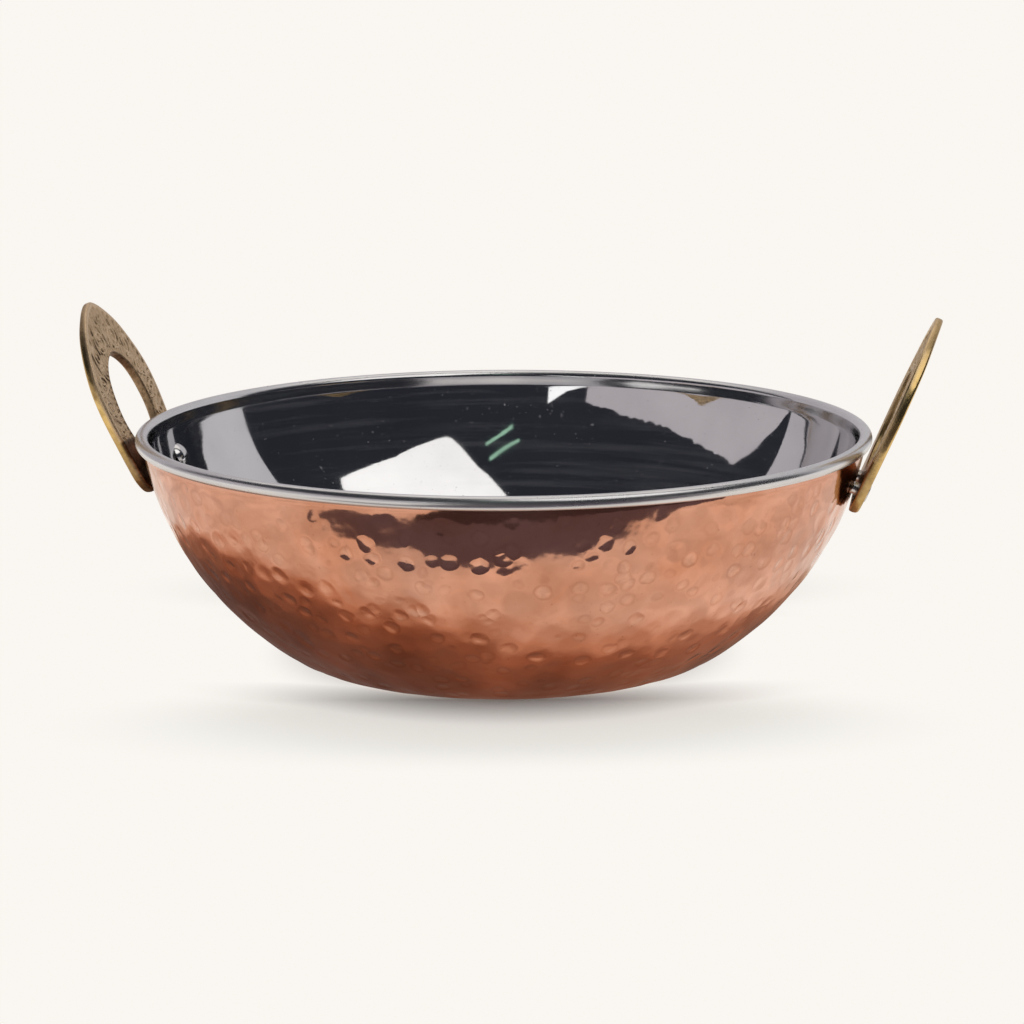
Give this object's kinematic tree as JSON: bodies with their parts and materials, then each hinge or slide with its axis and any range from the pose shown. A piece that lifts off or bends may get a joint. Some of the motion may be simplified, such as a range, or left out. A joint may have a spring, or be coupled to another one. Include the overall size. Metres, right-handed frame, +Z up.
{
  "type": "kadai",
  "caption": "Round kadai: a polished steel bowl with a rolled rim inside a hammered copper shell, with pointed cast brass loop handles riveted on.",
  "frame": {"origin": "middle of the flat base, on the surface that the kadai stands on", "axes": "+Z up; the handles are on -X (left) and +X (right); the front is towards -Y"},
  "size_m": [0.2366, 0.2, 0.0946],
  "materials": {
    "polished_steel": "mirror polished stainless steel with faint spun lines",
    "hammered_copper": "polished copper, hammered all over in round shallow dimples",
    "cast_brass": "aged cast brass with an engraved floral scroll, edges polished",
    "rivet_steel": "polished steel"
  },
  "bodies": {
    "root": {"steel_bowl": "polished_steel", "copper_shell": "hammered_copper", "handle_left": "cast_brass", "handle_right": "cast_brass", "rivet_left_front": "rivet_steel", "rivet_left_rear": "rivet_steel", "rivet_right_front": "rivet_steel", "rivet_right_rear": "rivet_steel"}
  },
  "joints": []
}
